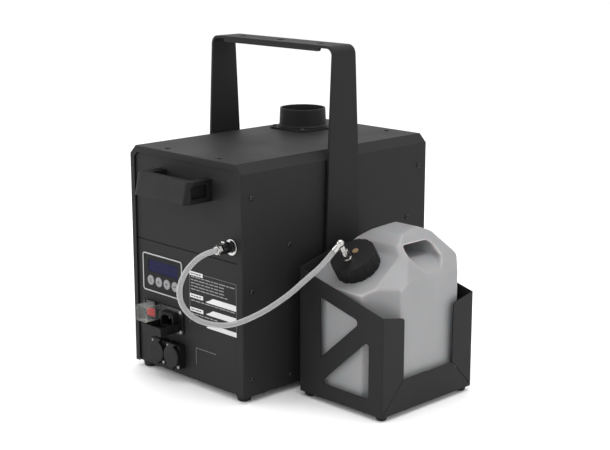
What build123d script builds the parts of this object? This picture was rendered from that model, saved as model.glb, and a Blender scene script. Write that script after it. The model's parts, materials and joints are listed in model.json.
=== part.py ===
"""Fog machine with a side fluid canister: sheet-metal cabinet, hanging bracket, duct spigot on top,
control and mains panel at the rear, and a basket that holds a 5 litre canister beside the cabinet.

Modelled about the middle of the cabinet's footprint, +Z up, floor at z = 0, rear panel towards -Y,
basket towards +X. The finished pieces are shifted on export so that the origin is under the middle
of the whole object.
"""

from build123d import *
from math import cos, pi, radians, sin, sqrt, tan
import os

os.makedirs("parts", exist_ok=True)

# ---------------------------------------------------------------- driving dimensions (mm)
CAB_W = 252.0  # cabinet width, X
CAB_D = 392.0  # cabinet depth, Y
CAB_BOTTOM = 10.0  # underside of the cabinet, which is the height of its feet
CAB_TOP = 350.0  # top face
BEVEL = 13.0  # leg of the 45 degree bevel along both long top edges
SHEET = 1.5  # cabinet sheet
RETURN = 10.0  # width of the cover's inward return round both ends
PANEL_FACE = CAB_D / 2 - 3.0  # how far out the recessed end panels' faces are
SEAM_Z = 207.0  # joint between the upper and lower rear panels
SEAM_GAP = 2.2
FLANGE = 27.0  # depth of an end panel's side flanges
FLOOR_T = 2.0  # base tray

ARM_IN = 130.0  # inner face of the hanging bracket's arms
ARM_T = 4.0  # bracket plate
BAR_TOP = 502.5  # top of the bracket's crossbar
BAR_HALF = 23.3  # half width of the crossbar
ARM_ROOT_Z = 347.0  # height where the arm has widened to ARM_ROOT_HALF
ARM_ROOT_HALF = 30.5
ARM_END_HALF = 36.0  # half width and end radius of an arm at its pivot
PIVOT_Z = 182.0
PIVOT_R = 5.0

SPIGOT_XY = (-57.0, 102.0)
SPIGOT_R = 38.0  # outer radius at the foot of the spigot
SPIGOT_TIP_R = 36.5
SPIGOT_WALL = 2.2
SPIGOT_H = 33.0
SPIGOT_FLANGE = 84.0  # square flange

BUTTON_R = 7.7
BUTTON_PITCH = 19.2
BUTTON_X0 = -84.6  # first of four
BUTTON_Z = 145.4
DISPLAY = (-57.0, 157.3, 93.5, 59.5)  # x, z, width, height
SCREEN = (-55.5, 168.0, 70.0, 19.0)

MODULE = (-54.0, 93.5, 92.0, 39.0)  # mains module plate: x, z, width, height
MODULE_T = 3.0
MODULE_SCREWS = ((40, 15), (40, -15), (-41, -15))
ROCKER = (-82.0, 96.0, 21.0, 15.0)
INLET = (-38.0, 93.0, 27.0, 20.0)
DMX_X = (-58.5, -23.5)
DMX_Z = 41.0
DMX_W = 31.0
DMX_H = 38.0
DMX_SCREW = (12.0, 15.0)  # screws at two opposite corners

COUPLING = (102.0, 230.0)  # x, z of the fluid coupling's axis
COUPLING_END = 224.0  # how far out the coupling reaches

HANDLE_Z = (290.0, 322.0)
HANDLE_HALF = 60.0
HANDLE_OUT = 243.0

BASKET_X = (150.0, 313.0)
BASKET_Y = (-107.2, 88.0)
BASKET_LOW_Z = 151.5  # top of the side walls at the open front
BASKET_SLOPE = 0.26  # rise of the side walls' top edge towards the back
BASKET_POST = 44.5  # width of the front flanges
BASKET_SHEET = 1.5
BASKET_BOTTOM = 7.5  # height of the basket's feet

BOTTLE_X = (153.5, 304.0)
BOTTLE_Y = (-99.0, 77.0)
BOTTLE_FLOOR = BASKET_BOTTOM + BASKET_SHEET
BOTTLE_TOP = 246.0
BOTTLE_WALL = 1.6
NECK_AT = (222.0, -60.0, 198.7)  # centre of the cap's seat
NECK_TILT = 33.0  # lean of the neck towards -Y
CAP_R = 33.5
CAP_H = 24.0

TUBE_R = 4.0
FOOT_R = 11.0
BOLT_HEAD = 6.4
WASHER_T = 2.0

# ---------------------------------------------------------------- worked out
HALF_W = CAB_W / 2
HALF_D = CAB_D / 2
INNER_W = HALF_W - SHEET - 0.3  # half width left inside the cover
ARM_OUT = ARM_IN + ARM_T
X_MIN = -(ARM_OUT + WASHER_T + BOLT_HEAD)
X_MAX = BASKET_X[1]
Y_MIN = -HANDLE_OUT
Y_MAX = HALF_D
SHIFT = Pos(-(X_MIN + X_MAX) / 2, -(Y_MIN + Y_MAX) / 2, 0)
CENTRE_MIN = (Align.CENTER, Align.CENTER, Align.MIN)
CENTRE_MAX = (Align.CENTER, Align.CENTER, Align.MAX)


def save(builder, name):
    """Write one finished piece in the object's own frame."""
    piece = SHIFT * builder.part
    piece.label = name
    export_step(piece, f"parts/{name}.step")


def facing(x, y, z, normal):
    """Plane at a point, whose z axis points along normal."""
    side = (0, 1, 0) if abs(normal[0]) > 0.5 else (1, 0, 0)
    return Plane(origin=(x, y, z), x_dir=side, z_dir=normal)


def rear(x, z, out=PANEL_FACE):
    """Plane on the rear of the cabinet, looking out towards -Y. Its x axis is +X, its y axis +Z."""
    return Plane(origin=(x, -out, z), x_dir=(1, 0, 0), z_dir=(0, -1, 0))


def upright(x, y, z=0):
    """Plane standing along X at a point, for half sections that are turned about a vertical axis."""
    return Plane(origin=(x, y, z), x_dir=(1, 0, 0), z_dir=(0, -1, 0))


def hood_section(inset, bottom):
    """Section of the cover across the cabinet, inset evenly from its outer face."""
    half = HALF_W - inset
    top = CAB_TOP - inset
    leg = BEVEL - inset * (2 - sqrt(2))
    return [
        (-half, bottom), (-half, top - leg), (-half + leg, top),
        (half - leg, top), (half, top - leg), (half, bottom),
    ]


def screws(planes, head_r, head_h, shank_r, shank_l):
    """Socket button-head screws, one at each plane, heads outwards."""
    for plane in planes:
        with Locations(plane):
            Cylinder(head_r, head_h * 0.45, align=CENTRE_MIN)
            Cylinder(shank_r, shank_l, align=CENTRE_MAX)
        with Locations(plane.offset(head_h * 0.45)):
            Cone(head_r, head_r * 0.62, head_h * 0.55, align=CENTRE_MIN)
        with BuildSketch(plane.offset(head_h)) as recess:
            RegularPolygon(head_r * 0.42, 6)
        extrude(recess.sketch, amount=-head_h * 0.6, mode=Mode.SUBTRACT)


# ---------------------------------------------------------------- screw places
SIDE_SCREWS = [(-178, 302), (-178, 166), (-178, 36), (-104, 223), (-102, 25)]
SIDE_SCREWS += [(178, 302), (178, 166), (178, 36), (152, 223), (102, 25)]
TOP_SCREWS = [(-58, -177), (58, -177), (-58, 177), (58, 177)]
SPIGOT_HOLE = SPIGOT_FLANGE / 2 - 10
SPIGOT_SCREWS = [
    (SPIGOT_XY[0] + i * SPIGOT_HOLE, SPIGOT_XY[1] + j * SPIGOT_HOLE) for i in (-1, 1) for j in (-1, 1)
]
COVER_HOLE_R = 2.2

# ---------------------------------------------------------------- cover: the cabinet's wrap-round shell
with BuildPart() as cover:
    with BuildSketch(Plane.XZ.offset(HALF_D)):
        Polygon(*hood_section(0, CAB_BOTTOM), align=None)
    extrude(amount=-CAB_D)
    ends = cover.faces().filter_by(Axis.Y)
    fillet(ends.edges().filter_by(lambda e: e.center().Z > CAB_BOTTOM + 1), 2.0)
    with BuildSketch(Plane.XZ.offset(HALF_D - SHEET)):
        Polygon(*hood_section(SHEET, CAB_BOTTOM - 1), align=None)
    extrude(amount=-(CAB_D - 2 * SHEET), mode=Mode.SUBTRACT)
    with BuildSketch(Plane.XZ.offset(HALF_D + 1)):
        Polygon(*hood_section(RETURN, CAB_BOTTOM - 1), align=None)
    extrude(amount=-(CAB_D + 2), mode=Mode.SUBTRACT)
    for side in (-1, 1):
        for y, z in SIDE_SCREWS:
            with Locations(facing(side * HALF_W, y, z, (side, 0, 0))):
                Cylinder(COVER_HOLE_R, 6, mode=Mode.SUBTRACT)
        with Locations(facing(side * HALF_W, 0, PIVOT_Z, (side, 0, 0))):
            Cylinder(PIVOT_R + 0.5, 6, mode=Mode.SUBTRACT)
    for x, y in TOP_SCREWS:
        with Locations((x, y, CAB_TOP)):
            Cylinder(COVER_HOLE_R, 6, mode=Mode.SUBTRACT)
    with Locations((*SPIGOT_XY, CAB_TOP)):
        Cylinder(SPIGOT_TIP_R - SPIGOT_WALL, 6, mode=Mode.SUBTRACT)
        with GridLocations(SPIGOT_FLANGE - 20, SPIGOT_FLANGE - 20, 2, 2):
            Cylinder(COVER_HOLE_R, 6, mode=Mode.SUBTRACT)
save(cover, "cover")

# ---------------------------------------------------------------- base tray
TRAY_FLANGE_H = 30.0
TRAY_FLANGE_HALF = HALF_D - 3.0 - FLANGE - 6.0
with BuildPart() as base_tray:
    with Locations((0, 0, CAB_BOTTOM)):
        Box(2 * INNER_W, CAB_D - 8, FLOOR_T, align=CENTRE_MIN)
    with Locations((0, 0, CAB_BOTTOM)):
        Box(2 * INNER_W, 2 * TRAY_FLANGE_HALF, TRAY_FLANGE_H, align=CENTRE_MIN)
    with Locations((0, 0, CAB_BOTTOM + FLOOR_T)):
        inner = 2 * (INNER_W - FLOOR_T)
        Box(inner, 2 * TRAY_FLANGE_HALF + 2, TRAY_FLANGE_H, align=CENTRE_MIN, mode=Mode.SUBTRACT)
    for side in (-1, 1):
        for y in (-102, 102):
            with Locations(facing(side * INNER_W, y, 25, (side, 0, 0))):
                Cylinder(1.95, 8, mode=Mode.SUBTRACT)
    with GridLocations(218, 360, 2, 2):
        Cylinder(2.2, 60, mode=Mode.SUBTRACT)
save(base_tray, "base_tray")


# ---------------------------------------------------------------- end panels: trays behind the cover's returns
def end_panel(side, z0, z1):
    """A flat face with two side flanges that the cover's screws run into. side is -1 rear, +1 front."""
    face = side * PANEL_FACE
    clearance = SHEET + 0.3
    with BuildSketch(Plane.XZ.offset(-face)) as front:
        Polygon(*hood_section(clearance, CAB_BOTTOM), align=None)
        with Locations((0, (z0 + z1) / 2)):
            Rectangle(CAB_W, z1 - z0, mode=Mode.INTERSECT)
    extrude(front.sketch, amount=side * SHEET)
    flange_top = min(z1, CAB_TOP - BEVEL - 2)
    for edge in (-1, 1):
        with Locations((edge * (INNER_W - SHEET / 2), face - side * FLANGE / 2, (z0 + flange_top) / 2)):
            Box(SHEET, FLANGE, flange_top - z0)
    for edge in (-1, 1):
        for y, z in SIDE_SCREWS:
            if z0 < z < z1 and y * side > 170:
                with Locations(facing(edge * INNER_W, y, z, (edge, 0, 0))):
                    Cylinder(1.95, 8, mode=Mode.SUBTRACT)


with BuildPart() as rear_upper_panel:
    end_panel(-1, SEAM_Z + SEAM_GAP / 2, CAB_TOP - 2)
    with Locations(rear(*COUPLING)):
        Cylinder(8.2, 10, mode=Mode.SUBTRACT)
    with Locations(rear(-HANDLE_HALF + 9, 306), rear(HANDLE_HALF - 9, 306)):
        Cylinder(2.7, 10, mode=Mode.SUBTRACT)
save(rear_upper_panel, "rear_upper_panel")

with BuildPart() as rear_lower_panel:
    end_panel(-1, CAB_BOTTOM + FLOOR_T + 0.3, SEAM_Z - SEAM_GAP / 2)
    for i in range(4):
        with Locations(rear(BUTTON_X0 + i * BUTTON_PITCH, BUTTON_Z)):
            Cylinder(BUTTON_R + 0.3, 10, mode=Mode.SUBTRACT)
    with BuildSketch(rear(SCREEN[0], SCREEN[1])):
        Rectangle(SCREEN[2] + 2, SCREEN[3] + 2)
    extrude(amount=-5, mode=Mode.SUBTRACT)
    with BuildSketch(rear(ROCKER[0], ROCKER[1])):
        Rectangle(ROCKER[2] + 1, ROCKER[3] + 1)
    extrude(amount=-5, mode=Mode.SUBTRACT)
    with BuildSketch(rear(INLET[0], INLET[1])):
        Rectangle(INLET[2] + 5, INLET[3] + 5)
    extrude(amount=-5, mode=Mode.SUBTRACT)
    for x in DMX_X:
        with Locations(rear(x, DMX_Z)):
            Cylinder(11.9, 10, mode=Mode.SUBTRACT)
        dx, dz = DMX_SCREW
        with Locations(rear(x - dx, DMX_Z + dz), rear(x + dx, DMX_Z - dz)):
            Cylinder(1.6, 10, mode=Mode.SUBTRACT)
    with Locations(*[rear(MODULE[0] + dx, MODULE[1] + dz) for dx, dz in MODULE_SCREWS]):
        Cylinder(1.6, 10, mode=Mode.SUBTRACT)
    # lip behind the seam
    with Locations((0, -(PANEL_FACE - SHEET - 0.6), SEAM_Z)):
        Box(2 * INNER_W - 6, 1.2, 14)
save(rear_lower_panel, "rear_lower_panel")

# front panel with the fan's intake slots
with BuildPart() as front_panel:
    end_panel(1, CAB_BOTTOM + FLOOR_T + 0.3, CAB_TOP - 2)
    with BuildSketch(Plane.XZ.offset(-PANEL_FACE)):
        with Locations((0, 180)):
            with GridLocations(62, 12, 3, 14):
                SlotOverall(54, 5)
    extrude(amount=6, both=True, mode=Mode.SUBTRACT)
save(front_panel, "front_panel")

with BuildPart() as cover_screws:
    for side in (-1, 1):
        screws([facing(side * HALF_W, y, z, (side, 0, 0)) for y, z in SIDE_SCREWS], 3.8, 2.2, 1.9, 8)
    screws([facing(x, y, CAB_TOP, (0, 0, 1)) for x, y in TOP_SCREWS], 3.8, 2.2, 1.9, 8)
    screws([facing(x, y, CAB_TOP + 3, (0, 0, 1)) for x, y in SPIGOT_SCREWS], 3.8, 2.2, 1.9, 10)
save(cover_screws, "cover_screws")

# ---------------------------------------------------------------- cabinet feet
CAB_FEET = [(x, y) for x in (-109, 109) for y in (-180, 180)]


def foot_profile(radius, height):
    """Half section of a push-in rubber foot standing on the floor, with its stem through the sheet."""
    Polygon(
        (0, height + 5), (1.6, height + 5), (2.2, height), (radius, height), (radius - 1.2, 1.5), (radius - 3.0, 0),
        (4.8, 0), (4.8, 2.5), (0, 2.5), align=None,
    )


with BuildPart() as cabinet_feet:
    for x, y in CAB_FEET:
        with BuildSketch(upright(x, y)):
            foot_profile(FOOT_R, CAB_BOTTOM)
        revolve(axis=Axis((x, y, 0), (0, 0, 1)))
save(cabinet_feet, "cabinet_feet")

# ---------------------------------------------------------------- hanging bracket
LIP_HALF = 105.0
LIP_DROP = 9.0
BEND_R = 12.0
with BuildPart() as hanging_bracket:
    mid = ARM_IN + ARM_T / 2
    bar_mid = BAR_TOP - ARM_T / 2
    low = PIVOT_Z - ARM_END_HALF
    with BuildSketch(Plane.XZ):
        with BuildLine():
            FilletPolyline((-mid, low), (-mid, bar_mid), (mid, bar_mid), (mid, low), radius=BEND_R)
        trace(line_width=ARM_T)
    extrude(amount=60, both=True)
    with BuildSketch(Plane.YZ):
        Polygon(
            (-ARM_END_HALF, PIVOT_Z), (-ARM_ROOT_HALF, ARM_ROOT_Z), (-BAR_HALF, BAR_TOP - 12),
            (-BAR_HALF, BAR_TOP + 1), (BAR_HALF, BAR_TOP + 1), (BAR_HALF, BAR_TOP - 12),
            (ARM_ROOT_HALF, ARM_ROOT_Z), (ARM_END_HALF, PIVOT_Z), align=None,
        )
        with Locations((0, PIVOT_Z)):
            Circle(ARM_END_HALF)
    extrude(amount=ARM_OUT + 5, both=True, mode=Mode.INTERSECT)
    for side in (-1, 1):
        with BuildSketch(Plane.XZ.offset(side * BAR_HALF)):
            with Locations((0, BAR_TOP - LIP_DROP / 2)):
                Rectangle(2 * LIP_HALF, LIP_DROP)
            corners = vertices().group_by(Axis.Y)[0]
            fillet(corners, 4.0)
        extrude(amount=-side * ARM_T)
    with Locations((0, 0, BAR_TOP)):
        Cylinder(6.5, 20, mode=Mode.SUBTRACT)
    with Locations((-85, 0, BAR_TOP), (85, 0, BAR_TOP)):
        Cylinder(5.5, 20, mode=Mode.SUBTRACT)
    with Locations(facing(0, 0, PIVOT_Z, (1, 0, 0))):
        Cylinder(PIVOT_R + 0.05, 2 * ARM_OUT + 10, mode=Mode.SUBTRACT)
save(hanging_bracket, "hanging_bracket")

SPACER_GAP = 0.1
with BuildPart() as pivot_spacers:
    for side in (-1, 1):
        with Locations(facing(side * HALF_W, 0, PIVOT_Z, (side, 0, 0))):
            Cylinder(15, ARM_IN - HALF_W - SPACER_GAP, align=CENTRE_MIN)
            Cylinder(PIVOT_R, 30, mode=Mode.SUBTRACT)
save(pivot_spacers, "pivot_spacers")

with BuildPart() as pivot_washers:
    for side in (-1, 1):
        with Locations(facing(side * (ARM_OUT + SPACER_GAP), 0, PIVOT_Z, (side, 0, 0))):
            Cylinder(12, WASHER_T - SPACER_GAP, align=CENTRE_MIN)
            Cylinder(PIVOT_R, 30, mode=Mode.SUBTRACT)
save(pivot_washers, "pivot_washers")

with BuildPart() as pivot_bolts:
    for side in (-1, 1):
        seat = facing(side * (ARM_OUT + WASHER_T), 0, PIVOT_Z, (side, 0, 0))
        with BuildSketch(seat):
            RegularPolygon(9.8, 6)
        extrude(amount=BOLT_HEAD)
        with Locations(seat):
            Cylinder(PIVOT_R, 28, align=CENTRE_MAX)
save(pivot_bolts, "pivot_bolts")

# plates inside the cover that the pivot bolts screw into
PLATE_T = 4.0
with BuildPart() as pivot_plates:
    for side in (-1, 1):
        inside = facing(side * (HALF_W - SHEET), 0, PIVOT_Z, (side, 0, 0))
        with BuildSketch(inside):
            RectangleRounded(70, 70, 6)
            Circle(PIVOT_R, mode=Mode.SUBTRACT)
        extrude(amount=-PLATE_T)
        with BuildSketch(inside.offset(-PLATE_T)):
            RegularPolygon(10, 6)
            Circle(PIVOT_R, mode=Mode.SUBTRACT)
        extrude(amount=-8)
save(pivot_plates, "pivot_plates")

# ---------------------------------------------------------------- duct spigot
with BuildPart() as duct_spigot:
    with BuildSketch(Plane.XY.offset(CAB_TOP)):
        with Locations(SPIGOT_XY):
            RectangleRounded(SPIGOT_FLANGE, SPIGOT_FLANGE, 16)
    extrude(amount=3)
    with BuildSketch(upright(*SPIGOT_XY, CAB_TOP)):
        with BuildLine():
            Polyline(
                (SPIGOT_TIP_R - SPIGOT_WALL, 0), (SPIGOT_R + 1.5, 0), (SPIGOT_R + 1.5, 5), (SPIGOT_R, 7),
                (SPIGOT_TIP_R + 0.4, SPIGOT_H - 5), (SPIGOT_TIP_R, SPIGOT_H),
                (SPIGOT_TIP_R - SPIGOT_WALL, SPIGOT_H), close=True,
            )
        make_face()
    revolve(axis=Axis((*SPIGOT_XY, 0), (0, 0, 1)))
    with Locations((*SPIGOT_XY, CAB_TOP)):
        Cylinder(SPIGOT_TIP_R - SPIGOT_WALL, 40, mode=Mode.SUBTRACT)
        with GridLocations(SPIGOT_FLANGE - 20, SPIGOT_FLANGE - 20, 2, 2):
            Cylinder(2.2, 12, mode=Mode.SUBTRACT)
save(duct_spigot, "duct_spigot")

# finger guard: two crossed bars and a ring at the foot of the spigot
with BuildPart() as outlet_guard:
    with BuildSketch(Plane.XY.offset(CAB_TOP + 1)):
        with Locations(SPIGOT_XY):
            Circle(SPIGOT_TIP_R - SPIGOT_WALL - 0.2)
            Circle(SPIGOT_TIP_R - SPIGOT_WALL - 3.0, mode=Mode.SUBTRACT)
            Rectangle(66, 3)
            Rectangle(3, 66)
            Circle(16)
            Circle(13.5, mode=Mode.SUBTRACT)
            Rectangle(3, 30)
            Rectangle(30, 3)
    extrude(amount=2.5)
save(outlet_guard, "outlet_guard")

# ---------------------------------------------------------------- carry handle
GRIP = 17.0  # thickness of the bar
with BuildPart() as carry_handle:
    z_low, z_high = HANDLE_Z
    with BuildSketch(Plane.YZ):
        Polygon(
            (-PANEL_FACE, z_low), (-PANEL_FACE, z_high), (-HANDLE_OUT + 8, z_high),
            (-HANDLE_OUT, z_low), align=None,
        )
    extrude(amount=HANDLE_HALF, both=True)
    fillet(carry_handle.edges().filter_by(Axis.Z, tolerance=20).group_by(Axis.Y)[0], 9.0)
    with BuildSketch(Plane.XY.offset(z_low - 5)):
        with Locations((0, -PANEL_FACE + 1)):
            Rectangle(2 * (HANDLE_HALF - 17), 2 * (HANDLE_OUT - PANEL_FACE - GRIP - 4))
        fillet(vertices(), 5)
    extrude(amount=50, mode=Mode.SUBTRACT)
    # pockets moulded into both ends
    for side in (-1, 1):
        with BuildSketch(facing(side * HANDLE_HALF, -PANEL_FACE - 24, (z_low + z_high) / 2, (side, 0, 0))):
            RectangleRounded(30, 19, 3)
        extrude(amount=-7, mode=Mode.SUBTRACT)
        with Locations(facing(side * (HANDLE_HALF - 9), -PANEL_FACE, 306, (0, 1, 0))):
            Cylinder(2.0, 20, mode=Mode.SUBTRACT)
save(carry_handle, "carry_handle")

with BuildPart() as handle_screws:
    for side in (-1, 1):
        with Locations(facing(side * (HANDLE_HALF - 9), -(PANEL_FACE - SHEET), 306, (0, 1, 0))):
            Cylinder(4.5, 3.0, align=CENTRE_MIN)
            Cylinder(2.0, 10, align=CENTRE_MAX)
save(handle_screws, "handle_screws")

# ---------------------------------------------------------------- control display
OVERLAY_T = 0.8
with BuildPart() as display_overlay:
    with BuildSketch(rear(DISPLAY[0], DISPLAY[1])):
        RectangleRounded(DISPLAY[2] - 3.8, DISPLAY[3] - 3.8, 3.2)
        with Locations((SCREEN[0] - DISPLAY[0], SCREEN[1] - DISPLAY[1])):
            Rectangle(SCREEN[2], SCREEN[3], mode=Mode.SUBTRACT)
        for i in range(4):
            with Locations((BUTTON_X0 + i * BUTTON_PITCH - DISPLAY[0], BUTTON_Z - DISPLAY[1])):
                Circle(BUTTON_R + 0.2, mode=Mode.SUBTRACT)
    extrude(amount=OVERLAY_T)
save(display_overlay, "display_overlay")

with BuildPart() as display_bezel:
    with BuildSketch(rear(DISPLAY[0], DISPLAY[1])):
        RectangleRounded(DISPLAY[2], DISPLAY[3], 5)
        RectangleRounded(DISPLAY[2] - 3.6, DISPLAY[3] - 3.6, 3.3, mode=Mode.SUBTRACT)
    extrude(amount=1.4)
save(display_bezel, "display_bezel")

# liquid crystal screen standing in the panel's window, on the control board
BOARD_Y = PANEL_FACE - 12.0
with BuildPart() as lcd_screen:
    with BuildSketch(rear(SCREEN[0], SCREEN[1], BOARD_Y)):
        Rectangle(SCREEN[2] + 8, SCREEN[3] + 8)
    extrude(amount=9.5)
    with BuildSketch(rear(SCREEN[0], SCREEN[1], BOARD_Y + 9.5)):
        Rectangle(SCREEN[2] - 0.6, SCREEN[3] - 0.6)
    extrude(amount=2.8)
save(lcd_screen, "lcd_screen")

with BuildPart() as control_board:
    with BuildSketch(rear(-50, 150, BOARD_Y - 1.6)):
        Rectangle(120, 70)
    extrude(amount=1.6)
    # chips and connectors on the back of the board
    for x, z, w, h, d in ((-85, 165, 18, 12, 3), (-55, 150, 14, 14, 3), (-20, 168, 10, 24, 9), (-5, 130, 12, 20, 11)):
        with BuildSketch(rear(x, z, BOARD_Y - 1.6)):
            Rectangle(w, h)
        extrude(amount=-d)
    # one small switch behind each button
    for i in range(4):
        with Locations(rear(BUTTON_X0 + i * BUTTON_PITCH, BUTTON_Z, BOARD_Y)):
            Box(6, 6, 3.2, align=CENTRE_MIN)
save(control_board, "control_board")

BUTTON_OUT = 2.2
BUTTON_TRAVEL = 1.2
BUTTON_NAMES = ("menu_button", "up_button", "down_button", "enter_button")
for i, button_name in enumerate(BUTTON_NAMES):
    with BuildPart() as button:
        base = rear(BUTTON_X0 + i * BUTTON_PITCH, BUTTON_Z, PANEL_FACE - 4.2)
        with Locations(base):
            Cylinder(BUTTON_R + 1.0, 1.2, align=CENTRE_MIN)
            Cylinder(BUTTON_R, 4.2 + BUTTON_OUT, align=CENTRE_MIN)
            Cylinder(2.0, 3.0, align=CENTRE_MAX)
        fillet(button.faces().sort_by(Axis.Y)[0].edges(), 1.0)
    save(button, button_name)

# ---------------------------------------------------------------- mains module
MODULE_FACE = PANEL_FACE + MODULE_T
COVER_BOX = (32.0, 26.0, 20.0)  # splash cover's width, height, depth
COVER_HINGE_Z = ROCKER[1] + COVER_BOX[1] / 2 + 2.6
COVER_HINGE_Y = -(MODULE_FACE + 3.0)
with BuildPart() as mains_plate:
    with BuildSketch(rear(MODULE[0], MODULE[1])):
        RectangleRounded(MODULE[2], MODULE[3], 6)
        with Locations((ROCKER[0] - MODULE[0], ROCKER[1] - MODULE[1])):
            Rectangle(ROCKER[2] + 0.4, ROCKER[3] + 0.4, mode=Mode.SUBTRACT)
        with Locations((INLET[0] - MODULE[0], INLET[1] - MODULE[1])):
            RectangleRounded(INLET[2] + 4.2, INLET[3] + 4.2, 3, mode=Mode.SUBTRACT)
        with Locations(*MODULE_SCREWS):
            Circle(1.7, mode=Mode.SUBTRACT)
    extrude(amount=MODULE_T)
    # ears and pin that the splash cover hangs from
    for side in (-1, 1):
        x = ROCKER[0] + side * 11.8
        with BuildSketch(facing(x, COVER_HINGE_Y, COVER_HINGE_Z, (1, 0, 0))):
            Circle(2.2)
            with Locations((1.45, 0)):
                Rectangle(3.1, 4.0)
        extrude(amount=2, both=True)
    with Locations(facing(ROCKER[0], COVER_HINGE_Y, COVER_HINGE_Z, (1, 0, 0))):
        Cylinder(1.0, 27.6)
save(mains_plate, "mains_plate")

INLET_PROUD = 7.0
with BuildPart() as mains_inlet:
    mouth = rear(INLET[0], INLET[1], MODULE_FACE + INLET_PROUD)
    with BuildSketch(mouth):
        RectangleRounded(INLET[2] + 4, INLET[3] + 4, 3)
    extrude(amount=-30 - INLET_PROUD)
    with BuildSketch(mouth):
        Polygon(
            (-12, -8), (12, -8), (12, 4), (8, 8), (-8, 8), (-12, 4), align=None,
        )
    extrude(amount=-24, mode=Mode.SUBTRACT)
save(mains_inlet, "mains_inlet")

# moulded guard that carries a plugged-in lead: a tray with side walls, open at the top
GUARD = (-39.0, 83.5, 43.0, 13.0, 35.0)  # x, z, width, height, reach
with BuildPart() as plug_guard:
    gx, gz, gw, gh, reach = GUARD
    foot = rear(gx, gz, MODULE_FACE)
    with BuildSketch(foot):
        RectangleRounded(gw, gh, 2)
    extrude(amount=reach)
    with BuildSketch(Plane(origin=(gx, -MODULE_FACE, gz - gh / 2 + 2.5), x_dir=(1, 0, 0), z_dir=(0, 0, 1))):
        with Locations((0, -(reach - 3) / 2)):
            Rectangle(gw - 5, reach - 3)
    extrude(amount=gh, mode=Mode.SUBTRACT)
    for side in (-1, 1):
        with BuildSketch(facing(gx + side * gw / 2, -(MODULE_FACE + 12), gz, (side, 0, 0))):
            RectangleRounded(17, 8, 1.5)
        extrude(amount=-1.2, mode=Mode.SUBTRACT)
save(plug_guard, "plug_guard")

with BuildPart() as rocker_frame:
    with BuildSketch(rear(ROCKER[0], ROCKER[1], MODULE_FACE)):
        RectangleRounded(ROCKER[2] + 4, ROCKER[3] + 4, 1.5)
        Rectangle(ROCKER[2] - 2, ROCKER[3] - 2, mode=Mode.SUBTRACT)
    extrude(amount=1.6)
    with BuildSketch(rear(ROCKER[0], ROCKER[1], MODULE_FACE)):
        Rectangle(ROCKER[2], ROCKER[3])
        Rectangle(ROCKER[2] - 2, ROCKER[3] - 2, mode=Mode.SUBTRACT)
    extrude(amount=-16)
    with BuildSketch(rear(ROCKER[0], ROCKER[1], MODULE_FACE - 16)):
        Rectangle(ROCKER[2], ROCKER[3])
    extrude(amount=-2)
save(rocker_frame, "rocker_frame")

ROCKER_TILT = 9.0
ROCKER_AXIS_Y = -(MODULE_FACE - 2.0)
KEY_W = ROCKER[2] - 4.2
KEY_H = ROCKER[3] - 2.8
with BuildPart() as rocker_key:
    turned = (cos(radians(ROCKER_TILT)), sin(radians(ROCKER_TILT)), 0)
    with BuildSketch(Plane(origin=(ROCKER[0], ROCKER_AXIS_Y, ROCKER[1] - KEY_H / 2), x_dir=turned, z_dir=(0, 0, 1))):
        Polygon(
            (-KEY_W / 2, -4.4), (0, -5.6), (KEY_W / 2, -4.4), (KEY_W / 2 - 1.2, 4.0), (-KEY_W / 2 + 1.2, 4.0),
            align=None,
        )
    extrude(amount=KEY_H)
save(rocker_key, "rocker_key")

# clear splash cover, hinged along its top edge
with BuildPart() as switch_cover:
    cw, ch, cd = COVER_BOX
    with BuildSketch(rear(ROCKER[0], ROCKER[1], MODULE_FACE + 0.3)):
        RectangleRounded(cw, ch, 3)
    extrude(amount=cd, taper=3)
    fillet(switch_cover.faces().sort_by(Axis.Y)[0].edges(), 2.0)
    with BuildSketch(rear(ROCKER[0], ROCKER[1], MODULE_FACE + 0.3)):
        RectangleRounded(cw - 3, ch - 3, 1.6)
    extrude(amount=cd - 1.5, taper=3, mode=Mode.SUBTRACT)
    with Locations(facing(ROCKER[0], COVER_HINGE_Y, COVER_HINGE_Z, (1, 0, 0))):
        with Locations((0, -2)):
            Box(3, 4, 18)
        Cylinder(2.2, 18)
        Cylinder(1.05, 40, mode=Mode.SUBTRACT)
save(switch_cover, "switch_cover")

# ---------------------------------------------------------------- control sockets with hinged caps
SOCKET_T = 11.0
SOCKET_FACE = PANEL_FACE + SOCKET_T
SOCKET_NAMES = ("dmx_input", "dmx_output")
CAP_HINGE_Z = DMX_Z + DMX_H / 2 + 0.5
CAP_HINGE_Y = -(SOCKET_FACE + 3.2)


def socket_screw_planes(x):
    """Seats of the two screws that hold the socket at x."""
    dx, dz = DMX_SCREW
    return [rear(x - dx, DMX_Z + dz, SOCKET_FACE), rear(x + dx, DMX_Z - dz, SOCKET_FACE)]


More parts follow.
